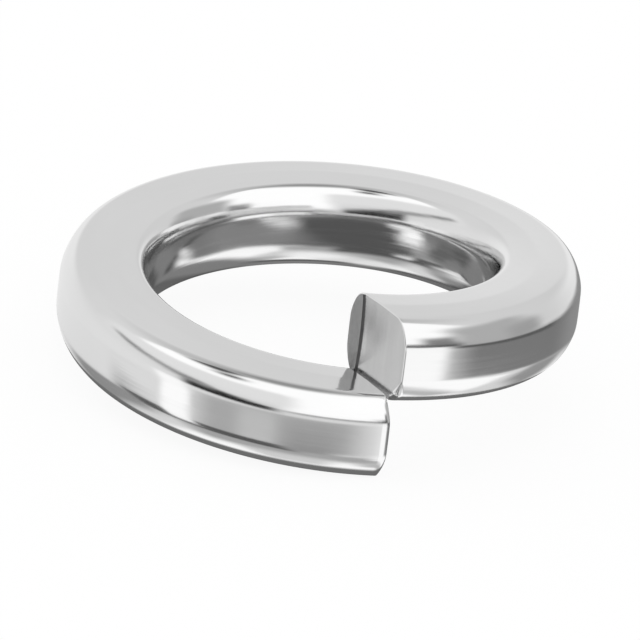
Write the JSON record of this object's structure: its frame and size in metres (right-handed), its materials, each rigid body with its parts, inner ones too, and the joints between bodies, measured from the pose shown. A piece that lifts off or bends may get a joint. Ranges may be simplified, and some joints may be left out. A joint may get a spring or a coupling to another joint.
{
  "type": "spring lock washer",
  "caption": "Split spring lock washer: a square-section steel bar coiled left-handed into an open ring, with skewed sheared ends that spring apart and bite.",
  "frame": {"origin": "on the bore axis, at mid-height of the free washer", "axes": "+Z along the bore axis, towards the end of the coil that is raised; -Y towards the gap"},
  "size_m": [0.0248, 0.0248, 0.0082],
  "materials": {
    "spring_steel": "bright, barrel polished"
  },
  "bodies": {
    "root": {"lock_washer": "spring_steel"}
  },
  "joints": []
}
